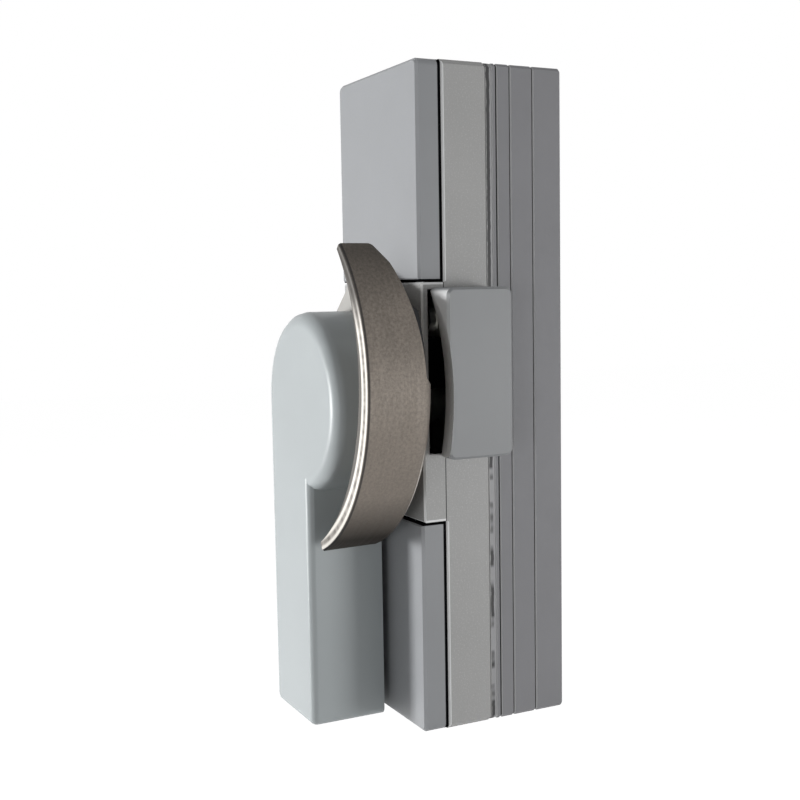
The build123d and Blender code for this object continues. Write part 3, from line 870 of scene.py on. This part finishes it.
@dataclass(frozen=True)
class SmoothShell:
    """Copy of a CAD solid whose rounded edges are shaded as one curve.

    Weld is the distance within which corners are joined, flat the angle in degrees under
    which faces count as one, and sharp the angle from which an edge stays sharp.
    """

    node: str
    body: str
    finish: Finish
    weld: float = 0.002 * MM
    flat: float = 0.5
    sharp: float = 35.0

    def mesh(self) -> bpy.types.Mesh:
        """Merges a copy of the node's mesh and marks its sharp edges.

        Returns:
            The new mesh.
        """
        work = bmesh.new()
        work.from_mesh(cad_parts[self.node].data)
        bmesh.ops.remove_doubles(work, verts=work.verts, dist=self.weld)
        bmesh.ops.dissolve_limit(
            work, angle_limit=math.radians(self.flat), verts=work.verts, edges=work.edges
        )
        for face in work.faces:
            face.smooth = True
        limit = math.radians(self.sharp)
        for edge in work.edges:
            edge.smooth = edge.is_manifold and edge.calc_face_angle(0.0) < limit
        made = bpy.data.meshes.new(f"{self.node}_smooth")
        work.to_mesh(made)
        work.free()
        return made

    def build(self) -> None:
        """Sets the copy in the node's place."""
        mesh = self.mesh()
        mesh.materials.append(paint(self.finish))
        piece = bpy.data.objects.new(f"{self.node}_smooth", mesh)
        bpy.context.scene.collection.objects.link(piece)
        weights = piece.modifiers.new("face_weights", "WEIGHTED_NORMAL")
        weights.keep_sharp = True
        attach(piece, self.body)
        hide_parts(self.node)
        LOG.info("set %s in place of %s", piece.name, self.node)


@dataclass
class LockBody:
    """The base with its caps, back plate and packing plates."""

    packing_plates: tuple[str, ...] = ("liner_1", "liner_2", "liner_3", "liner_4")
    caps: tuple[str, ...] = ("upper_cover", "lower_cover")

    def build(self) -> None:
        """Dresses the fixed pieces."""
        dress("base", CAST)
        for name in self.caps:
            dress(name, CAP)
        for name in self.packing_plates:
            dress(name, PACKING)
        dress("back_plate", JOINT_PLATE)
        dress("plate_screws", PLATED)


@dataclass
class TurningGroup:
    """Handle, crescent and what turns with them, in their bearing and click spring."""

    body: str = "turning_group"
    bearing: tuple[str, ...] = ("bush", "wear_ring")
    steel: tuple[str, ...] = ("spindle", "cam_plate", "stop_plate", "centre_screw")

    def build(self) -> None:
        """Dresses the turning pieces and what they run in."""
        SmoothShell("handle", self.body, ENAMEL).build()
        SmoothShell("crescent", self.body, PRESSED).build()
        for name in self.bearing:
            dress(name, BEARING)
        dress("detent_spring", SPRING)
        for name in self.steel:
            dress(name, PLATED)


@dataclass
class SlideGroup:
    """The side slide with its bar and spring."""

    steel: tuple[str, ...] = ("lock_bar", "slide_screw")

    def build(self) -> None:
        """Dresses the sliding pieces."""
        dress("lock_slide", SLIDE)
        dress("slide_spring", SPRING)
        for name in self.steel:
            dress(name, PLATED)


@dataclass(frozen=True)
class Lamp:
    """Square soft lamp that shines at the part's origin, in metres and watts."""

    name: str
    place: Point
    size: float
    power: float

    def hang(self) -> None:
        """Adds the lamp to the scene."""
        data = bpy.data.lights.new(self.name, "AREA")
        data.energy = self.power
        data.size = self.size
        lamp = bpy.data.objects.new(self.name, data)
        lamp.location = self.place
        lamp.rotation_euler = (-Vector(self.place)).to_track_quat("-Z", "Y").to_euler()
        bpy.context.scene.collection.objects.link(lamp)


@dataclass
class Studio:
    """Floor, backdrop, lamps and camera. Lengths are in metres, angles in degrees."""

    floor_level: float = -0.25
    floor_size: float = 6.0
    floor_colour: Colour = (0.8, 0.8, 0.8)
    floor_glow: float = 0.9
    surround_light: float = 0.12
    camera_place: Point = (0.18472, -0.1155, 0.0184)
    azimuth: float = 63.53
    elevation: float = 5.29
    roll: float = -0.96
    lens: float = 53.46
    sensor: float = 36.0
    nearest: float = 0.01
    lamps: tuple[Lamp, ...] = (
        Lamp("key", (-0.45, -0.88, -0.08), 0.16, 7.3),
        Lamp("side", (0.8, 0.58, -0.08), 0.3, 3.0),
        Lamp("fill", (0.62, -0.78, -0.02), 0.3, 1.1),
    )

    def floor(self) -> None:
        """Lays a white floor below the part that keeps its shadow."""
        bpy.ops.mesh.primitive_plane_add(size=self.floor_size, location=(0.0, 0.0, 0.0))
        plane = bpy.context.object
        plane.name = "floor"
        plane.data.transform(Matrix.Translation((0.0, 0.0, self.floor_level)))
        pen = MaterialPen("studio_white")
        coat = pen.node("ShaderNodeBsdfDiffuse")
        coat.inputs["Color"].default_value = (*self.floor_colour, 1.0)
        glow = pen.node("ShaderNodeEmission")
        glow.inputs["Color"].default_value = (*WHITE, 1.0)
        pen.link(pen.product(pen.white_rays(), self.floor_glow), glow.inputs["Strength"])
        both = pen.node("ShaderNodeAddShader")
        pen.link(coat.outputs["BSDF"], both.inputs[0])
        pen.link(glow.outputs["Emission"], both.inputs[1])
        pen.link(both.outputs["Shader"], pen.output.inputs["Surface"])
        plane.data.materials.append(pen.material)

    def world(self) -> None:
        """Sets a surround that is seen as white and lights the part softly."""
        world = bpy.data.worlds.new("studio")
        bpy.context.scene.world = world
        pen = NodePen(world, "ShaderNodeOutputWorld")
        surround = pen.node("ShaderNodeBackground")
        surround.inputs["Color"].default_value = (*WHITE, 1.0)
        level = pen.span(pen.white_rays(), 0.0, 1.0, self.surround_light, 1.0)
        pen.link(level, surround.inputs["Strength"])
        pen.link(surround.outputs["Background"], pen.output.inputs["Surface"])

    def camera(self) -> None:
        """Sets the camera at the photo's view."""
        azimuth = math.radians(self.azimuth)
        elevation = math.radians(self.elevation)
        roll = math.radians(self.roll)
        back = Vector(
            (
                math.sin(azimuth) * math.cos(elevation),
                -math.cos(azimuth) * math.cos(elevation),
                math.sin(elevation),
            )
        )
        level = Vector((0.0, 0.0, 1.0)).cross(back).normalized()
        upright = back.cross(level)
        right = math.cos(roll) * level + math.sin(roll) * upright
        up = math.cos(roll) * upright - math.sin(roll) * level
        turn = Matrix((right, up, back)).transposed().to_4x4()
        data = bpy.data.cameras.new("camera")
        data.lens = self.lens
        data.sensor_width = self.sensor
        data.clip_start = self.nearest
        camera = bpy.data.objects.new("camera", data)
        camera.matrix_world = Matrix.Translation(self.camera_place) @ turn
        bpy.context.scene.collection.objects.link(camera)
        bpy.context.scene.camera = camera

    def build(self) -> None:
        """Builds the studio."""
        bpy.context.scene.view_settings.view_transform = "Standard"
        self.floor()
        self.world()
        for lamp in self.lamps:
            lamp.hang()
        self.camera()


def main() -> None:
    """Builds the dressed part and its studio."""
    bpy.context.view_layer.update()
    LockBody().build()
    TurningGroup().build()
    SlideGroup().build()
    Studio().build()


if __name__ == "__main__":
    main()
